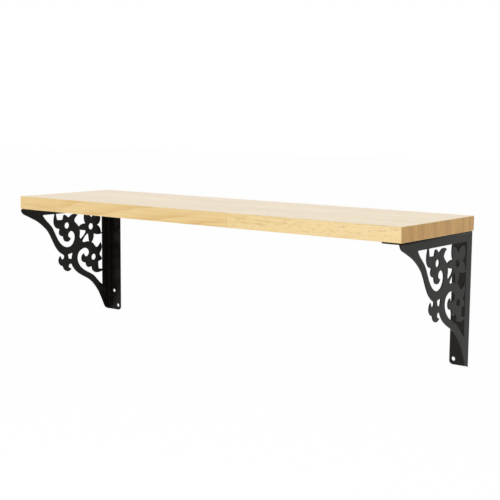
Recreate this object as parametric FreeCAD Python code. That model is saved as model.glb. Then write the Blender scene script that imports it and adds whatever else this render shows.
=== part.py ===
import FreeCAD, Part
import math
import os

# Wall shelf: an edge-glued board on two folded steel brackets cut with a scroll-and-flower fretwork.
# Millimetres. The wall is the plane Y = 0, the board reaches out to -Y, +X runs along the wall, +Z is up.
# The origin lies on the wall, in the middle of the four main screw holes.

V = FreeCAD.Vector

BOARD_LENGTH = 610.0
BOARD_DEPTH = 172.0
BOARD_THICKNESS = 18.0
STAVE_COUNT = 4
BOARD_EDGE_R = 1.0          # sanded rounding of the board's outer edges

SHEET = 1.5                 # steel thickness
BEND = 2.5                  # outside radius of both folds
FLANGE = 25.4               # width of the flange under the board and of the one on the wall
ARM_OUT = 172.0             # bracket, wall to front tip
ARM_DOWN = 165.0            # bracket, board to lower tip
END_GAP = 1.0               # board end to the bracket's outer face
FREE_CORNER = 5.0           # rounding of each flange's free outer corner

HOLE_R = 2.5                # screw holes in the flanges
HOLE_MIDDLE = 12.0          # outer face to the upper and middle holes
HOLE_CORNER = 20.0          # outer face to the hole in the free corner
ALONG_UPPER = 11.0          # distances of the holes from the folded corner, along either arm
ALONG_MIDDLE = 136.0
ALONG_CORNER = 158.0

SCREW_R = 1.75
SCREW_LENGTH = 13.0         # head underside to point
SCREW_POINT = 3.0
HEAD_R = 3.6
HEAD_HEIGHT = 1.9

# The fretwork is drawn once for half a square bracket. u runs from the corner along one arm and v along
# the other; swapping them gives the second half. Across the board the drawing is a little longer.
STRETCH = 1.036
CORNER_INSET = 2.2          # drawing corner to the wall
RAIL_TOP = 11.5             # width of the solid rail under the board
RAIL_WALL = 12.3            # the same along the wall, in drawing units

UNDERSIDE = (ALONG_UPPER + ALONG_MIDDLE) / 2     # height of the board's underside
BRACKET_X = BOARD_LENGTH / 2 - END_GAP

# Each outline is a chain of smooth stretches; neighbouring stretches meet at a sharp point.
OUTER_EDGE = [
    [(165, -3.4), (164.6, 1), (163, 4.8), (160, 8), (155, 10.5), (146.7, 14.4), (135.3, 20.4),
     (125, 28), (116.7, 36.3), (111.3, 45), (106, 55), (99, 65), (94.7, 69), (89.4, 72.4)],
    [(89.4, 72.4), (87.2, 75.2), (88.4, 78.4), (91.4, 79), (93.4, 76.8), (94.5, 73.6)],
    [(94.5, 73.6), (97, 77), (97.9, 81), (96.2, 85.6), (93, 88.4), (89.7, 89.7)],
]
SCROLL_WINDOW = [
    [(126, 12.2), (120, 19.7), (110, 29.7), (103.3, 41.3), (98.4, 50), (94, 55.4), (87.6, 60.1), (80, 62),
     (73, 60.2), (68.4, 55.2), (66.5, 49.4), (67.1, 44), (69.9, 40.2), (74, 38.8), (78.2, 41.2), (79.4, 45),
     (77.4, 47.8), (74.6, 49)],
    [(74.6, 49), (77.6, 53), (81.4, 54), (85.8, 52.6), (88.3, 48.6), (88.6, 45.6)],
    [(88.6, 45.6), (93.4, 44.1), (96.3, 40.6), (95.9, 37), (95.4, 33.6)],
    [(95.4, 33.6), (100, 33), (104.2, 29.3), (106.2, 23), (105.5, 17), (103.9, 10)],
    [(103.9, 10), (126, 10)],
    [(126, 10), (126, 12.2)],
]
RAIL_WINDOW = [
    [(102.2, 10), (101.4, 15), (100.2, 20.2)],
    [(100.2, 20.2), (94.7, 20.9), (89.2, 20.7)],
    [(89.2, 20.7), (88.3, 17), (86.9, 13.8)],
    [(86.9, 13.8), (82.6, 15.3), (79.4, 17.8), (77.4, 18.2)],
    [(77.4, 18.2), (74.8, 16.2), (70.8, 14.2), (66, 13.9), (60.6, 15.9)],
    [(60.6, 15.9), (65.4, 19.4), (67.3, 23.4), (64, 28), (58.8, 34.4)],
    [(58.8, 34.4), (55.4, 31.4), (51, 29.9), (45.2, 29.5)],
    [(45.2, 29.5), (47.8, 24.6), (48.1, 18), (47.2, 10)],
    [(47.2, 10), (102.2, 10)],
]
WEDGE_WINDOW = [
    [(58.4, 37.2), (54, 39), (48, 39.8), (44.8, 41)],
    [(44.8, 41), (46.4, 44.4), (51, 49), (55.5, 52.3)],
    [(55.5, 52.3), (57.4, 49), (57, 44), (58.4, 37.2)],
]
HEART_WINDOW_HALF = [
    [(71.2, 71.2), (75, 71.9), (80.2, 73.1)],
    [(80.2, 73.1), (79.8, 76), (79, 79)],
]
CORNER_WINDOW_HALF = [
    [(10, 10), (45.8, 10)],
    [(45.8, 10), (45.6, 15.2)],
    [(45.6, 15.2), (40, 16.2), (36.4, 18.6), (33.4, 22.6)],
    [(33.4, 22.6), (30.6, 18.4), (26, 16.3), (20.6, 16.2), (17.2, 17.2)],
]
FLOWER_HOLES = [((81.7, 30.0), 4.6), ((30.0, 81.7), 4.6), ((35.0, 35.0), 4.7)]


def swap(stretches):
    """The same outline on the other arm."""
    return [[(v, u) for u, v in stretch] for stretch in stretches]


def both_sides(half):
    """A half outline followed by its mirror image in the diagonal."""
    back = [[(v, u) for u, v in reversed(stretch)] for stretch in reversed(half)]
    return half + back


def place(u, v):
    """Drawing point to bracket point: y out from the wall, z down from the board."""
    return V(0, -(CORNER_INSET + STRETCH * u), -v)


def wire(stretches):
    edges = []
    for stretch in stretches:
        points = [place(u, v) for u, v in stretch]
        if len(points) == 2:
            edges.append(Part.makeLine(points[0], points[1]))
        else:
            curve = Part.BSplineCurve()
            curve.interpolate(points)
            edges.append(curve.toShape())
    return Part.Wire(edges)


def sheet_of(outline):
    """A flat outline given the thickness of the steel, with its outer face at X = 0."""
    return Part.Face(outline).extrude(V(SHEET, 0, 0))


def box(x0, x1, y0, y1, z0, z1):
    return Part.makeBox(x1 - x0, y1 - y0, z1 - z0, V(x0, y0, z0))


def fretwork():
    """The cut web, standing in the plane X = 0 with its folded corner at the origin."""
    outer = both_sides(OUTER_EDGE)
    corner = (OUTER_EDGE[0][0][1], OUTER_EDGE[0][0][1])
    outer += [[outer[-1][-1], corner], [corner, outer[0][0]]]
    web = sheet_of(wire(outer))
    openings = []
    for outline in (SCROLL_WINDOW, RAIL_WINDOW, WEDGE_WINDOW):
        openings += [sheet_of(wire(outline)), sheet_of(wire(swap(outline)))]
    for half in (HEART_WINDOW_HALF, CORNER_WINDOW_HALF):
        openings.append(sheet_of(wire(both_sides(half))))
    for (u, v), radius in FLOWER_HOLES:
        openings.append(Part.makeCylinder(radius, SHEET, place(u, v), V(1, 0, 0)))
    web = web.cut(openings)
    rail_y = -(CORNER_INSET + STRETCH * RAIL_WALL)
    web = web.fuse([box(0, SHEET, -(CORNER_INSET + STRETCH * 130), 0, -RAIL_TOP, 0),
                    box(0, SHEET, rail_y, 0, -130, 0)])
    return web.common(box(0, SHEET, -ARM_OUT, -BEND, -ARM_DOWN, -BEND)).removeSplitter()


def fold(length):
    """A folded strip: quarter bend at the origin edge and a flat flange, running along -Y from 0."""
    inner = BEND - SHEET
    centre = V(BEND, 0, -BEND)
    c, s = math.cos(math.radians(45)), math.sin(math.radians(45))
    outside = Part.Arc(V(0, 0, -BEND), centre + V(-BEND * c, 0, BEND * s), V(BEND, 0, 0)).toShape()
    inside = Part.Arc(V(BEND, 0, -SHEET), centre + V(-inner * c, 0, inner * s),
                      V(SHEET, 0, -BEND)).toShape()
    edges = [outside, Part.makeLine(V(BEND, 0, 0), V(FLANGE, 0, 0)),
             Part.makeLine(V(FLANGE, 0, 0), V(FLANGE, 0, -SHEET)),
             Part.makeLine(V(FLANGE, 0, -SHEET), V(BEND, 0, -SHEET)), inside,
             Part.makeLine(V(SHEET, 0, -BEND), V(0, 0, -BEND))]
    strip = Part.Face(Part.Wire(edges)).extrude(V(0, -length, 0))
    tips = [e for e in strip.Edges if e.Length < SHEET + 0.01 and abs(e.CenterOfMass.x - FLANGE) < 0.01
            and e.CenterOfMass.y < -length + 0.01]
    return strip.makeFillet(FREE_CORNER, tips)


def flange(length):
    """The fold with its three screw holes, mitred where it meets the other one in the folded corner."""
    reach = 2 * BEND
    beyond = Part.Face(Part.makePolygon([V(-1, 0, 0), V(-1, 0, -reach), V(-1, -reach, -reach), V(-1, 0, 0)]))
    strip = fold(length).cut(beyond.extrude(V(FLANGE + 2, 0, 0)))
    for x, along in ((HOLE_MIDDLE, ALONG_UPPER), (HOLE_MIDDLE, ALONG_MIDDLE),
                     (HOLE_CORNER, ALONG_CORNER + length - ARM_DOWN)):
        strip = strip.cut(Part.makeCylinder(HOLE_R, 3 * SHEET, V(x, -along, -2 * SHEET)))
    return strip


def bracket():
    """One bracket with its outer face at X = 0 and its flanges turned towards +X."""
    under_board = flange(ARM_OUT)
    on_wall = flange(ARM_DOWN).mirror(V(0, 0, 0), V(0, 1, -1))
    return fretwork().fuse([under_board, on_wall]).removeSplitter()


def screw():
    """Pan-head wood screw pointing up, the underside of its head at Z = 0."""
    dome = HEAD_HEIGHT * 0.8
    edges = [Part.makeLine(V(0, 0, -HEAD_HEIGHT), V(HEAD_R * 0.6, 0, -HEAD_HEIGHT)),
             Part.Arc(V(HEAD_R * 0.6, 0, -HEAD_HEIGHT), V(HEAD_R * 0.9, 0, -dome * 0.8),
                      V(HEAD_R, 0, 0)).toShape(),
             Part.makeLine(V(HEAD_R, 0, 0), V(SCREW_R, 0, 0)),
             Part.makeLine(V(SCREW_R, 0, 0), V(SCREW_R, 0, SCREW_LENGTH - SCREW_POINT)),
             Part.makeLine(V(SCREW_R, 0, SCREW_LENGTH - SCREW_POINT), V(0, 0, SCREW_LENGTH)),
             Part.makeLine(V(0, 0, SCREW_LENGTH), V(0, 0, -HEAD_HEIGHT))]
    solid = Part.Face(Part.Wire(edges)).revolve(V(0, 0, 0), V(0, 0, 1), 360)
    for x, y in ((1.6, 0.35), (0.35, 1.6)):
        solid = solid.cut(box(-x, x, -y, y, -HEAD_HEIGHT - 1, -HEAD_HEIGHT + 1.1))
    return solid


def screw_places(side):
    """Middle of each screw under the board on one side (-1 left, +1 right); the corner hole has none."""
    for name, out in (("back", ALONG_UPPER), ("front", ALONG_MIDDLE)):
        yield name, V(side * (BRACKET_X - HOLE_MIDDLE), -out, UNDERSIDE - SHEET)


os.makedirs("parts", exist_ok=True)

left = bracket()
left.translate(V(-BRACKET_X, 0, UNDERSIDE))
right = left.mirror(V(0, 0, 0), V(1, 0, 0))
left.exportStep("parts/bracket_left.step")
right.exportStep("parts/bracket_right.step")

pilots = []
for side, label in ((-1, "left"), (1, "right")):
    for name, centre in screw_places(side):
        fitted = screw()
        fitted.translate(centre)
        fitted.exportStep("parts/screw_%s_%s.step" % (label, name))
        pilot = Part.makeCylinder(SCREW_R, SCREW_LENGTH + 2 - SHEET, centre + V(0, 0, SHEET))
        pilots.append(pilot)

board = box(-BOARD_LENGTH / 2, BOARD_LENGTH / 2, -BOARD_DEPTH, 0, UNDERSIDE, UNDERSIDE + BOARD_THICKNESS)
board = board.makeFillet(BOARD_EDGE_R, board.Edges).cut(pilots)
stave = BOARD_DEPTH / STAVE_COUNT
for i in range(STAVE_COUNT):
    slab = box(-BOARD_LENGTH, BOARD_LENGTH, -(i + 1) * stave, -i * stave, 0, 2 * UNDERSIDE)
    board.common(slab).exportStep("parts/stave_%d.step" % (i + 1))
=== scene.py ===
# %% [markdown]
# # A wall shelf, dressed in Blender
# The frame is a wooden board glued up from four strips, two folded steel brackets and four screws. This
# lesson gives each of them its surface. The frame's sizes are fixed, so every place below is read from it.

# %% Load the frame
import math

import bmesh
import bpy
import numpy as np
from mathutils import Matrix, Vector


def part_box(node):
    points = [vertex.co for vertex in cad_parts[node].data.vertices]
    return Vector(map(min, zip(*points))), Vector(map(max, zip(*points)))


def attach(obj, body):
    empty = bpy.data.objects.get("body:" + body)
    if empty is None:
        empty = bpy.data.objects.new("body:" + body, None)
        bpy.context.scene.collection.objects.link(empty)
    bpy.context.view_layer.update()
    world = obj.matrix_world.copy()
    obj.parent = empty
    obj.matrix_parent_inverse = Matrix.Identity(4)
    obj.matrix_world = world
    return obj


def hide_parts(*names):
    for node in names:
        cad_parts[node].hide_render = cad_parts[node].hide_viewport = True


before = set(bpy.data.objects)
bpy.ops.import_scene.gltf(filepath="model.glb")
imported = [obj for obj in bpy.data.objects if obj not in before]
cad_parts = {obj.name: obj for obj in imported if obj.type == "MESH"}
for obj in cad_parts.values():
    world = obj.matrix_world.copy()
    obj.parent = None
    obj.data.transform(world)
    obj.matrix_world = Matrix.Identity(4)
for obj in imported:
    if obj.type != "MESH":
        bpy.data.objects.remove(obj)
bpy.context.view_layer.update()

MM = 0.001
STAVES = ["stave_1", "stave_2", "stave_3", "stave_4"]
BRACKETS = ["bracket_left", "bracket_right"]
SCREWS = sorted(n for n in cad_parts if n.startswith("screw"))

# %% [markdown]
# ## Small helpers for materials
# A procedural material is a chain of nodes. Writing each node by hand hides the idea under bookkeeping, so
# one helper adds a node and fills its sockets: a value goes in as it is, a socket is linked. Values that are
# the same all over a surface, such as the strength of a lacquer, are typed into the shader's own sockets.


# %% Node helper
class Finish:
    """A material under construction: add() makes a node, math() and mix() are the two used most."""

    def __init__(self, name):
        self.material = bpy.data.materials.new(name)
        self.material.use_nodes = True
        self.tree = self.material.node_tree
        self.shader = self.tree.nodes["Principled BSDF"]
        self.place = self.add("ShaderNodeTexCoord").outputs["Object"]

    def set(self, node, socket, value):
        if isinstance(value, bpy.types.NodeSocket):
            self.tree.links.new(value, node.inputs[socket])
        else:
            node.inputs[socket].default_value = value

    def add(self, kind, inputs=None, **settings):
        node = self.tree.nodes.new(kind)
        for key, value in settings.items():
            setattr(node, key, value)
        for socket, value in (inputs or {}).items():
            self.set(node, socket, value)
        return node

    def shade(self, sockets):
        """Fill several sockets of the shader at once."""
        for socket, value in sockets.items():
            self.set(self.shader, socket, value)

    def math(self, operation, *values):
        return self.add("ShaderNodeMath", dict(enumerate(values)), operation=operation).outputs[0]

    def vector(self, operation, *values):
        return self.add("ShaderNodeVectorMath", dict(enumerate(values)), operation=operation).outputs[0]

    def mix(self, factor, low, high, blend="MIX"):
        node = self.add("ShaderNodeMix", {0: factor, 6: low, 7: high}, data_type="RGBA", blend_type=blend)
        return node.outputs[2]

    def stain(self, amount, colour, tint):
        """The colour multiplied by a tint, where the amount says so."""
        return self.mix(amount, colour, self.mix(1.0, colour, tint, "MULTIPLY"))

    def between(self, value, low, high, to_low=0.0, to_high=1.0):
        """value rescaled smoothly from low..high to to_low..to_high, and held outside."""
        node = self.add("ShaderNodeMapRange", {0: value, 1: low, 2: high, 3: to_low, 4: to_high},
                        interpolation_type="SMOOTHSTEP")
        return node.outputs[0]

    def noise(self, place, stretch, detail=2.0, rough=0.5):
        """Noise whose features are 1/stretch metres long along X, Y and Z."""
        scaled = self.vector("MULTIPLY", place, stretch)
        node = self.add("ShaderNodeTexNoise", {"Vector": scaled, "Scale": 1.0, "Detail": detail,
                                               "Roughness": rough})
        return node.outputs["Fac"]

    def bump(self, height, distance, strength):
        node = self.add("ShaderNodeBump", {"Height": height, "Distance": distance, "Strength": strength})
        self.set(self.shader, "Normal", node.outputs[0])


# %% [markdown]
# ## The wood
# The board is pale rubberwood: short lengths are finger-jointed end to end into strips, and the strips are
# glued side by side. So the colour changes in two steps, from strip to strip and, inside a strip, at each
# finger joint. Painting that on a flat picture would break at the edges of the board. A solid texture, one
# that fills space, carries the same rings from the top over the arris and onto the end grain, as wood does.
#
# First, the lengths. Dividing the place along the strip by the distance between joints and rounding down
# numbers them, and white noise turns that number into a colour that stays the same all over one length.

# %% Lengths of wood between finger joints
FINGER_PITCH = 3.8 * MM
FINGER_SLOPE = 5.0
JOINT_CORE = 0.1 * MM
JOINT_EDGE = 0.9 * MM


def length_of_wood(f, seed, first_joint, length_between):
    """White noise that is constant over each length, and a line that is 1 at a joint and 0 away from it.
    Seen from above, the boundary between two lengths is a zigzag of fingers."""
    xyz = f.add("ShaderNodeSeparateXYZ", {0: f.place})
    x, y = xyz.outputs[0], xyz.outputs[1]
    zigzag = f.math("MULTIPLY", f.math("PINGPONG", y, FINGER_PITCH / 2), FINGER_SLOPE)
    along = f.math("DIVIDE", f.math("ADD", f.math("SUBTRACT", x, first_joint), zigzag), length_between)
    length = f.add("ShaderNodeTexWhiteNoise", {"W": f.math("ADD", f.math("FLOOR", along), seed)},
                   noise_dimensions="1D")
    joint = f.math("MULTIPLY", f.math("PINGPONG", along, 0.5), length_between)
    return length.outputs, f.between(joint, JOINT_CORE, JOINT_EDGE, 1.0, 0.0)


print("fingers every", round(FINGER_PITCH / MM, 1), "mm")

# %% [markdown]
# A tree's rings are cylinders round its heart. So the distance from a line through the heart, made uneven by
# some noise and divided by the width of a ring, gives the rings in any cut: stripes along a board, arches on
# its face, arcs on its end. Shifting and tipping each length a little, and giving it rings of its own width,
# is what makes two neighbours differ.

# %% Growth rings
RING_NARROWEST = 5 * MM
RING_SPREAD = 9 * MM
RING_WAVER = 16 * MM
WAVER_GRAIN = (5, 34, 34)
CLEAR_GRAIN = (6, 40, 40)


def growth_rings(f, length, grain, heart, open_pored):
    """Late wood of each ring: it rises slowly through the ring, ends sharply and fades out in places."""
    centred = f.vector("SUBTRACT", length["Color"], (0.5, 0.5, 0.5))
    tipped = f.add("ShaderNodeMapping", {0: f.vector("SUBTRACT", f.place, (0, heart[0], heart[1])),
                                         1: f.vector("MULTIPLY", centred, (0.0, 0.03, 0.03)),
                                         2: f.vector("MULTIPLY", centred, (0.0, 0.20, 0.20))})
    across = f.vector("MULTIPLY", tipped.outputs[0], (0, 1, 1))
    radius = f.add("ShaderNodeVectorMath", {0: across}, operation="LENGTH").outputs["Value"]
    waver = f.noise(grain, WAVER_GRAIN, 3.0)
    ring_width = f.math("MULTIPLY_ADD", length["Value"], RING_SPREAD, RING_NARROWEST)
    uneven = f.math("ADD", radius, f.math("MULTIPLY", waver, RING_WAVER))
    rings = f.math("FRACT", f.math("DIVIDE", uneven, ring_width))
    late = f.math("MULTIPLY", f.between(rings, 0.35, 0.93), f.between(rings, 1.0, 0.95))
    clear = f.between(f.noise(grain, CLEAR_GRAIN, 1.0), 0.42, 0.60, 0.15, 1.0)
    return f.math("MULTIPLY", late, f.math("SUBTRACT", clear, f.math("MULTIPLY", open_pored, 0.10)))


print("rings", round(RING_NARROWEST / MM), "to", round((RING_NARROWEST + RING_SPREAD) / MM), "mm wide")

# %% [markdown]
# Rubberwood has long open pores. On a face they are fine dark dashes, and where many lie together they read
# as short flecks. Both are noise stretched along the grain and cut off at a threshold, and a slower noise
# gathers them into patches.

# %% Pores and flecks
PORE_GRAIN = (150, 1900, 1900)
FLECK_GRAIN = (75, 560, 560)
PATCH_GRAIN = (5, 30, 30)


def pores_and_flecks(f, grain, open_pored):
    patches = f.between(f.noise(grain, PATCH_GRAIN, 1.0), 0.38, 0.62, 0.25, 1.0)
    pores = f.between(f.noise(grain, PORE_GRAIN, 1.0), 0.60, 0.70)
    flecks = f.between(f.noise(grain, FLECK_GRAIN, 3.0), 0.54, 0.68)
    return [f.math("MULTIPLY", f.math("MULTIPLY", marks, patches), open_pored) for marks in (pores, flecks)]


print("a pore is about", round(1000 / PORE_GRAIN[0], 1), "mm long, a fleck", round(1000 / FLECK_GRAIN[0], 1))

# %% [markdown]
# On the two ends of the board the fibres are cut across. They drink more lacquer and turn darker and warmer,
# in upright bands. The tint is darker than end grain alone, because it also holds painted shade on the ends.
# The surface's direction tells where an end is: there it faces along X.

# %% End grain and painted shade on the ends
# the end tint is real end-grain darkening, deepened further as painted shade on the ends of the board
END_GRAIN_AND_SHADE_TINT = (0.61, 0.45, 0.20, 1)
BAND_LIGHT = (1.10, 1.12, 1.14, 1)
BAND_DARK = (0.90, 0.84, 0.70, 1)
BAND_GRAIN = (0.0, 85, 12)


def end_grain_and_shade(f, grain, colour):
    """1 on the ends and 0 elsewhere, and the colour with its ends stained darker, partly as painted shade."""
    normal = f.add("ShaderNodeTexCoord").outputs["Normal"]
    facing = f.math("ABSOLUTE", f.add("ShaderNodeSeparateXYZ", {0: normal}).outputs[0])
    end = f.between(facing, 0.55, 0.95)
    bands = f.between(f.noise(grain, BAND_GRAIN, 4.0, 0.6), 0.36, 0.64)
    # cut fibres stained darker and warmer in bands, plus painted shade on the end
    end_colour_and_shade = f.mix(1.0, f.mix(bands, BAND_LIGHT, BAND_DARK), END_GRAIN_AND_SHADE_TINT, "MULTIPLY")
    return end, f.stain(end, colour, end_colour_and_shade)


print("end grain tint:", END_GRAIN_AND_SHADE_TINT[:3])

# %% [markdown]
# Now the parts come together. One number, the depth of colour, sums the rings, slow clouds, fine streaks and
# the character of the length, and slides from pale to honey. The lacquer is a clear coat over the wood, so
# its shine comes from Coat and not from the wood itself. Fibres, pores and joints also make a slight relief.

# %% Rubberwood
PALE = (0.76, 0.575, 0.27, 1)
HONEY = (0.56, 0.325, 0.085, 1)
PORE_TINT = (0.62, 0.46, 0.30, 1)
CLOUD_GRAIN = (7, 45, 45)
STREAK_GRAIN = (9, 520, 520)
FIBRE_GRAIN = (60, 2600, 2600)
APART = (3.0, 3.0, 3.0)
LACQUER = {"IOR": 1.47, "Specular IOR Level": 0.2, "Coat Weight": 0.64, "Coat Roughness": 0.16}
RELIEF = 0.08 * MM
DEPTH_FROM = {"rings": 0.34, "clouds": 0.42, "streaks": 1.15, "length": 0.55, "fibres": 0.30}
STAIN_OF = {"pores": 0.55, "flecks": 0.34, "joints": 0.30}
ROUGHNESS = {"everywhere": 0.30, "streaks": 0.12, "pores": 0.10, "ends": 0.16}


def rubberwood(name, seed, first_joint, length_between, heart, tone):
    """Lacquered wood of one strip. first_joint and length_between place its finger joints along X; heart is
    the (y, z) of the tree's heart, the centre of the rings; tone lightens or darkens the whole strip."""
    f = Finish(name)
    length, joint_line = length_of_wood(f, seed, first_joint, length_between)
    grain = f.vector("ADD", f.place, f.vector("MULTIPLY", length["Color"], APART))
    open_pored = f.between(length["Value"], 0.1, 0.6, 1.0, 0.2)
    late = growth_rings(f, length, grain, heart, open_pored)
    pores, flecks = pores_and_flecks(f, grain, open_pored)
    clouds = f.noise(grain, CLOUD_GRAIN, 3.0)
    streaks = f.noise(grain, STREAK_GRAIN, 5.0, 0.62)
    fibres = f.noise(grain, FIBRE_GRAIN, 2.0)

    depth = f.math("MULTIPLY_ADD", late, DEPTH_FROM["rings"], f.math("MULTIPLY", clouds, DEPTH_FROM["clouds"]))
    depth = f.math("MULTIPLY_ADD", f.math("SUBTRACT", streaks, 0.5), DEPTH_FROM["streaks"], depth)
    depth = f.math("MULTIPLY_ADD", f.math("SUBTRACT", length["Value"], 0.5), DEPTH_FROM["length"], depth)
    colour = f.mix(f.math("ADD", depth, tone), PALE, HONEY)
    fibre_depth = f.math("MULTIPLY", f.math("SUBTRACT", fibres, 0.35), DEPTH_FROM["fibres"])
    colour = f.mix(fibre_depth, colour, HONEY)
    for marks, kind in ((pores, "pores"), (flecks, "flecks"), (joint_line, "joints")):
        colour = f.stain(f.math("MULTIPLY", marks, STAIN_OF[kind]), colour, PORE_TINT)
    end, colour = end_grain_and_shade(f, grain, colour)

    rough = f.math("MULTIPLY_ADD", streaks, ROUGHNESS["streaks"], ROUGHNESS["everywhere"])
    rough = f.math("MULTIPLY_ADD", pores, ROUGHNESS["pores"], rough)
    f.shade({"Base Color": colour, "Roughness": f.math("MULTIPLY_ADD", end, ROUGHNESS["ends"], rough)})
    f.shade(LACQUER)
    height = f.math("MULTIPLY_ADD", pores, -0.8, f.math("MULTIPLY", fibres, 0.5))
    f.bump(f.math("MULTIPLY_ADD", joint_line, -0.5, height), RELIEF, 0.6)
    return f.material


print("lacquer:", LACQUER)

# %% [markdown]
# ## The strips of the board
# A strip is a bar with its corners eased. The outer arris of the board is sanded to about a millimetre;
# where two strips meet, glue and a light sanding leave only a hairline, here about a tenth of a millimetre.
# A box with a Bevel could give one radius everywhere, but not these different ones, so the bar is computed:
# a rounded rectangle carried along X, drawn in by a quarter circle at either end.

# %% Rounded rectangle
ARRIS = 1.0 * MM
HAIRLINE = 0.12 * MM
CORNER_STEPS = 6
QUARTER = np.linspace(0, math.pi / 2, CORNER_STEPS + 1)


def eased_section(y0, y1, z0, z1, radii):
    """Rounded rectangles in Y and Z, one per entry of y0, y1, z0 and z1, and the outward direction at their
    points. Each corner is a quarter circle of its own radius: centre + radius * (cos t, sin t), and
    (cos t, sin t) is the outward direction."""
    corners, outward = [], []
    places = (y1, z1, -1, -1), (y0, z1, 1, -1), (y0, z0, 1, 1), (y1, z0, -1, 1)
    for k, (cy, cz, sy, sz) in enumerate(places):
        t = QUARTER + k * math.pi / 2
        outward.append(np.stack([np.cos(t), np.sin(t)], 1))
        centre = np.stack([cy + sy * radii[k], cz + sz * radii[k]], 1)
        corners.append(centre[:, None] + radii[k] * outward[-1])
    return np.concatenate(corners, 1), np.concatenate(outward)


print("points round a strip:", 4 * len(QUARTER))

# %% [markdown]
# A grid of points becomes a mesh when neighbours are joined by quads. Rings of points closed by one face at
# each end make a solid bar, and the same few lines will close the screws later.


# %% Grid to mesh
def mesh_piece(name, points, faces):
    """A smooth-shaded object at the origin, its place being in its points."""
    mesh = bpy.data.meshes.new(name)
    mesh.from_pydata(points.reshape(-1, 3), [], faces)
    mesh.validate()
    mesh.shade_smooth()
    piece = bpy.data.objects.new(name, mesh)
    bpy.context.scene.collection.objects.link(piece)
    return piece


def tube_faces(rings, around):
    """Quads between neighbouring rings of points, and one many-sided face at each end."""
    ring, step = np.meshgrid(np.arange(rings - 1), np.arange(around), indexing="ij")
    following = (step + 1) % around
    quads = np.stack([ring * around + step, ring * around + following, (ring + 1) * around + following,
                      (ring + 1) * around + step], -1).reshape(-1, 4).tolist()
    quads.append(list(range(around))[::-1])
    quads.append(list(range((rings - 1) * around, rings * around)))
    return quads


print("faces of a tube with 3 rings of 4:", len(tube_faces(3, 4)))

# %% [markdown]
# The flat of an end meets a rounded arris without an edge. Blender would guess the direction of the surface
# there from the faces around it and smear the flat, so the exact directions, known from the same circles,
# are handed over as custom normals.

# %% Strip of wood
RINGS_ALONG = 40


def strip_of_wood(name, low, high, outer_front, outer_back):
    """The bar. Over the last millimetre of each end a turn t runs from 0 to 90 degrees: the section moves in
    from the end by ARRIS * (1 - cos t) and is drawn in by ARRIS * (1 - sin t) at its top, bottom and free
    side, and the surface faces cos t along X and sin t along the section's outward direction."""
    middle = np.linspace(low.x + ARRIS, high.x - ARRIS, RINGS_ALONG)[1:-1]
    moved_in = ARRIS * (1 - np.cos(QUARTER))
    xs = np.concatenate([low.x + moved_in, middle, high.x - moved_in[::-1]])
    turn = np.concatenate([QUARTER, np.full(len(middle), math.pi / 2), QUARTER[::-1]])
    drawn_in = ARRIS * (1 - np.sin(turn))
    back, front = (ARRIS if outer_back else HAIRLINE), (ARRIS if outer_front else HAIRLINE)
    section, outward = eased_section(low.y + drawn_in * outer_front, high.y - drawn_in * outer_back,
                                     low.z + drawn_in, high.z - drawn_in, (back, front, front, back))
    points = np.empty((len(xs), len(outward), 3))
    points[..., 0] = xs[:, None]
    points[..., 1:] = section
    normals = np.empty_like(points)
    normals[..., 0] = (np.sign(xs - (low.x + high.x) / 2) * np.cos(turn))[:, None]
    normals[..., 1:] = outward * np.sin(turn)[:, None, None]
    piece = mesh_piece(name, points, tube_faces(*points.shape[:2]))
    piece.data.normals_split_custom_set_from_vertices(normals.reshape(-1, 3))
    return piece


print("rings of points along a strip:", RINGS_ALONG - 2 + 2 * len(QUARTER))

# %% [markdown]
# Each strip is a different piece of timber, so each gets its own row of values: where its joints fall, which
# part of the tree it came from and how dark it is. Strip 4 is the front one, the one that shows most.

# %% Glue up the board
# name: seed, first joint, length between joints, heart (y, z), tone; lengths in metres
STRIP_LOOKS = {
    "stave_1": (11.0, -0.118, 0.348, (0.070, 0.060), 0.00),
    "stave_2": (23.0, 0.040, 0.392, (-0.135, 0.070), -0.04),
    "stave_3": (185.0, -0.190, 0.366, (-0.050, 0.040), 0.03),
    "stave_4": (557.5, -0.2297, 0.3015, (-0.205, 0.130), 0.00),
}
for node in STAVES:
    low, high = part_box(node)
    number = node[-1]
    strip = strip_of_wood("strip_" + number, low, high, node == STAVES[-1], node == STAVES[0])
    strip.data.materials.append(rubberwood("rubberwood_" + number, *STRIP_LOOKS[node]))
    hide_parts(node)
    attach(strip, "root")
    print(node, "->", strip.name, len(strip.data.polygons), "faces")

# %% [markdown]
# ## The brackets
# Each bracket is cut from sheet by laser, folded twice and powder-coated. The coat is nearly black, so most
# of what is seen is the pale room mirrored softly in it. In a room as bright as this one the usual amount
# of mirrored light would turn the coat grey. So the base colour is very dark and the specular level low,
# and noises add the coat's orange peel, slow changes of gloss and a little dust.

# %% Powder coat
COAT_DARK = (0.0034, 0.0032, 0.0027, 1)
COAT_LIGHT = (0.0060, 0.0056, 0.0048, 1)
DUST = (0.05, 0.047, 0.041, 1)
COAT_SHINE = {"Specular IOR Level": 0.13, "Specular Tint": (1.0, 0.94, 0.86, 1)}
PEEL_GRAIN = (1400, 1400, 1400)
GLOSS_GRAIN = (38, 38, 38)
DUST_GRAIN = (900, 900, 900)
PEEL_HEIGHT = 0.03 * MM
COAT_ROUGHNESS = 0.26
ROUGHNESS_CHANGE = 0.08
DUST_AMOUNT = 0.2


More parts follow.
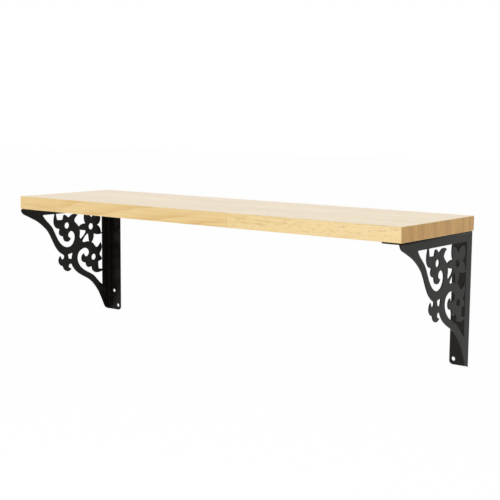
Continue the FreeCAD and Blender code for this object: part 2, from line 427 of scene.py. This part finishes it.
def powder_coat(name):
    """Satin black coating: fine orange peel, slow changes of gloss, and a dusting in places."""
    f = Finish(name)
    patches = f.noise(f.place, GLOSS_GRAIN, 3.0)
    specks = f.between(f.noise(f.place, DUST_GRAIN, 0.0), 0.72, 0.80)
    base = f.mix(f.math("MULTIPLY", specks, DUST_AMOUNT), f.mix(patches, COAT_DARK, COAT_LIGHT), DUST)
    rough = f.math("MULTIPLY_ADD", patches, ROUGHNESS_CHANGE, COAT_ROUGHNESS)
    f.shade({"Base Color": base, "Roughness": rough})
    f.shade(COAT_SHINE)
    f.bump(f.noise(f.place, PEEL_GRAIN, 2.0), PEEL_HEIGHT, 0.5)
    return f.material


print("powder coat:", COAT_SHINE["Specular IOR Level"], "specular level")

# %% [markdown]
# The coat is thick enough to round every cut edge, and that thin round catches the light. The shape is
# already right in the frame, so a copy of its mesh is used: its loose triangles are joined, its flat areas
# cleared of needless edges, and a Bevel rounds the cut edges. Only curved faces are shaded smooth, because a
# large flat face with many corners shows streaks when its shading is blended from corner to corner.

# %% Round the cut edges
EDGE_ROUND = 0.3 * MM
SHARP = math.radians(50)
SAME_POINT = 2e-6
SAME_PLANE = math.radians(0.5)
SQUARE_ON = 0.99999


def coated_bracket(node, name):
    """A copy of the folded sheet with its points joined, its flats dissolved and its cut edges rounded."""
    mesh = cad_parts[node].data.copy()
    mesh.name = name
    bm = bmesh.new()
    bm.from_mesh(mesh)
    bmesh.ops.remove_doubles(bm, verts=bm.verts, dist=SAME_POINT)
    bmesh.ops.dissolve_limit(bm, angle_limit=SAME_PLANE, verts=bm.verts, edges=bm.edges)
    bm.to_mesh(mesh)
    bm.free()
    facing = np.empty(len(mesh.polygons) * 3)
    mesh.polygons.foreach_get("normal", facing)
    curved = np.abs(facing.reshape(-1, 3)).max(1) < SQUARE_ON
    mesh.polygons.foreach_set("use_smooth", curved)
    mesh.materials.clear()
    piece = bpy.data.objects.new(name, mesh)
    bpy.context.scene.collection.objects.link(piece)
    edge = piece.modifiers.new("coated edge", "BEVEL")
    edge.width = EDGE_ROUND
    edge.segments = 2
    edge.limit_method = "ANGLE"
    edge.angle_limit = SHARP
    edge.harden_normals = True
    return piece


for node in BRACKETS:
    bracket = coated_bracket(node, "folded_" + node)
    bracket.data.materials.append(powder_coat(node.replace("bracket", "powder_coat")))
    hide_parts(node)
    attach(bracket, "root")
    print(node, "->", bracket.name, len(bracket.data.polygons), "faces before the Bevel")

# %% [markdown]
# ## The screws
# Four pan-head wood screws come up through the upper flanges. A screw is two surfaces of revolution that are
# not quite round: the head, with a cross sunk into it, and the shank, whose radius rises and falls with the
# thread. Both are one formula each in an angle and a distance, so neither needs a cutting tool.

# %% Screw head
HEAD_R = 3.6 * MM
HEAD_H = 1.9 * MM
CROSS_WIDTH = 0.84 * MM
CROSS_LENGTH = 3.5 * MM
CROSS_DEPTH = 1.25 * MM
CROSS_WALL = 0.25 * MM


def screw_head(around=96, rings=44):
    """Height over the head, downwards: a dome H * (1 - (s/R)^4)^(1/2) in the distance s from the axis, less a
    cross whose depth falls off smoothly with the distance to the nearer of its two bars."""
    angle = np.linspace(0, 2 * math.pi, around, endpoint=False)
    s = HEAD_R * np.sin(np.linspace(0.02, math.pi / 2, rings))
    s, angle = np.meshgrid(s, angle, indexing="ij")
    x, y = s * np.cos(angle), s * np.sin(angle)
    dome = HEAD_H * np.sqrt(np.clip(1 - (s / HEAD_R) ** 4, 0, 1))
    bar_a = np.maximum(np.abs(x) - CROSS_WIDTH / 2, np.abs(y) - CROSS_LENGTH / 2)
    bar_b = np.maximum(np.abs(y) - CROSS_WIDTH / 2, np.abs(x) - CROSS_LENGTH / 2)
    inside = np.clip(-np.minimum(bar_a, bar_b) / CROSS_WALL + 0.3, 0, 1)
    z = -(dome - CROSS_DEPTH * inside * inside * (3 - 2 * inside))
    return np.stack([x, y, z], -1)


head = screw_head()
print("screw head:", head.shape[0] * head.shape[1], "points")

# %% [markdown]
# The thread is a ridge on the shank that climbs one pitch per turn. The angle and the height together give
# the phase within a pitch, and the ridge is high where the phase is near one half.

# %% Screw shank
SHANK_R = 1.75 * MM
SHANK_L = 13.0 * MM
THREAD_PITCH = 1.3 * MM
CORE = 0.72
RIDGE_HALF = 0.22
RUN_IN = 1.5 * MM
POINT_L = 3.0 * MM


def screw_shank(around=32, rings=220):
    """Radius along the shank: a core plus a ridge that repeats each pitch and turns once round meanwhile,
    both shrinking to nothing over the point."""
    angle = np.linspace(0, 2 * math.pi, around, endpoint=False)
    z = np.linspace(0, SHANK_L, rings)
    z, angle = np.meshgrid(z, angle, indexing="ij")
    phase = (z / THREAD_PITCH - angle / (2 * math.pi)) % 1.0
    ridge = np.clip(1 - np.abs(phase - 0.5) / RIDGE_HALF, 0, 1) * np.clip(z / RUN_IN, 0, 1)
    point = np.clip((SHANK_L - z) / POINT_L, 0.03, 1)
    radius = SHANK_R * (CORE + (1 - CORE) * ridge) * point
    return np.stack([radius * np.cos(angle), radius * np.sin(angle), z], -1)


shank = screw_shank()
print("screw shank:", shank.shape[0] * shank.shape[1], "points")

# %% [markdown]
# The screws are blackened, not painted: the black is a skin of oxide on steel, cloudy and scratched down to
# grey metal here and there. So this finish is partly metallic, and the scratches are noise squeezed hard
# across one direction.

# %% Blackened steel
OXIDE_DARK = (0.020, 0.020, 0.021, 1)
OXIDE_LIGHT = (0.040, 0.038, 0.034, 1)
BARE_STEEL = (0.16, 0.155, 0.145, 1)
SCRATCH_HEIGHT = 0.01 * MM
BLOOM_GRAIN = (420, 420, 420)
SCRATCH_GRAIN = (900, 9000, 900)


def blackened_steel(name):
    """Black conversion coating on steel: nearly black metal, cloudy, with fine scratches down to grey."""
    f = Finish(name)
    bloom = f.noise(f.place, BLOOM_GRAIN, 2.0)
    scratches = f.noise(f.place, SCRATCH_GRAIN, 2.0)
    worn = f.between(scratches, 0.62, 0.74, 0.0, 0.5)
    colour = f.mix(worn, f.mix(bloom, OXIDE_DARK, OXIDE_LIGHT), BARE_STEEL)
    f.shade({"Base Color": colour, "Metallic": 0.7,
             "Roughness": f.math("MULTIPLY_ADD", scratches, 0.22, 0.24)})
    f.bump(scratches, SCRATCH_HEIGHT, 0.4)
    return f.material


black_steel = blackened_steel("blackened_steel")
print("made", black_steel.name)

# %% [markdown]
# Nobody drives screws until their crosses line up, so each one is turned by a different angle about its own
# axis before it is moved to its hole. The head's grid runs outwards and downwards, so its faces are read the
# other way round to point out of the metal.

# %% Drive the screws
FIRST_TURN = 17
NEXT_TURN = 53

head_faces = [face[::-1] for face in tube_faces(*head.shape[:2])]
head_points = head.shape[0] * head.shape[1]
shank_faces = [[i + head_points for i in face] for face in tube_faces(*shank.shape[:2])]
screw_points = np.concatenate([head.reshape(-1, 3), shank.reshape(-1, 3)])
for count, node in enumerate(SCREWS):
    low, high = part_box(node)
    seat = np.array([(low.x + high.x) / 2, (low.y + high.y) / 2, low.z + HEAD_H])
    turn = np.array(Matrix.Rotation(math.radians(FIRST_TURN + NEXT_TURN * count), 3, "Z"))
    piece = mesh_piece("wood_" + node, screw_points @ turn.T + seat, head_faces + shank_faces)
    piece.data.materials.append(black_steel)
    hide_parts(node)
    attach(piece, "root")
print("screws driven:", len(SCREWS))

# %% [markdown]
# ## Floor, light and camera
# The shelf hangs free over a plain pale floor under an even white sky, as in a light tent. The floor lies
# far below, where the shelf's shadow is spread too thin to see.

# %% Floor
FLOOR_HEIGHT = -1.3

bpy.ops.mesh.primitive_plane_add(size=60, location=(0, 0, FLOOR_HEIGHT))
floor = bpy.context.object
floor.name = "floor"
pale = Finish("pale_floor")
pale.shade({"Base Color": (0.99, 0.99, 0.99, 1), "Roughness": 0.9})
floor.data.materials.append(pale.material)
print("the floor is", -FLOOR_HEIGHT, "m below the middle of the wall holes")

# %% [markdown]
# An even sky alone leaves the wood flat. One large soft lamp stands in front, a little to the left and at the
# height of the shelf: it keeps the long front edge brighter than the end, and it also shows softly in the
# coat of the flanges. The Standard view transform keeps the white of the sky white.

# %% Light
scene = bpy.context.scene
scene.view_settings.view_transform = "Standard"
world = bpy.data.worlds.new("light_tent")
world.use_nodes = True
world.node_tree.nodes["Background"].inputs["Color"].default_value = (1, 1, 1, 1)
world.node_tree.nodes["Background"].inputs["Strength"].default_value = 1.0
scene.world = world

LAMP_PLACE = Vector((-1.0, -3.0, 0.1))
LAMP_TARGET = Vector((0, -0.1, 0))

lamp_data = bpy.data.lights.new("front_left", "AREA")
lamp_data.shape = "SQUARE"
lamp_data.size = 1.6
lamp_data.energy = 14
lamp = bpy.data.objects.new("front_left", lamp_data)
lamp.location = LAMP_PLACE
lamp.rotation_euler = (LAMP_TARGET - LAMP_PLACE).to_track_quat("-Z", "Y").to_euler()
scene.collection.objects.link(lamp)
print("lamp of", lamp_data.energy, "W,", round((LAMP_TARGET - LAMP_PLACE).length, 2), "m away")

# %% [markdown]
# The camera stands to the right of the shelf and a little above it, with a long lens. Its direction is built
# from three angles: the yaw to the left, the pitch down and a slight roll.

# %% Camera
CAMERA_PLACE = (0.87412, -1.17363, 0.21192)
YAW, PITCH, ROLL = (math.radians(a) for a in (37.6188, 7.3042, -0.4632))
SENSOR = 36
LENS = 77.93

ahead = Vector((-math.sin(YAW) * math.cos(PITCH), math.cos(YAW) * math.cos(PITCH), -math.sin(PITCH)))
right = Vector((math.cos(YAW), math.sin(YAW), 0))
down = ahead.cross(right)
right, down = (math.cos(ROLL) * right + math.sin(ROLL) * down,
               -math.sin(ROLL) * right + math.cos(ROLL) * down)
camera_data = bpy.data.cameras.new("camera")
camera_data.sensor_width = SENSOR
camera_data.lens = LENS
camera = bpy.data.objects.new("camera", camera_data)
turned = Matrix((right, -down, -ahead)).transposed().to_4x4()
camera.matrix_world = Matrix.Translation(CAMERA_PLACE) @ turned
scene.collection.objects.link(camera)
scene.camera = camera
print("camera", round(Vector(CAMERA_PLACE).length, 2), "m away, lens", LENS, "mm")
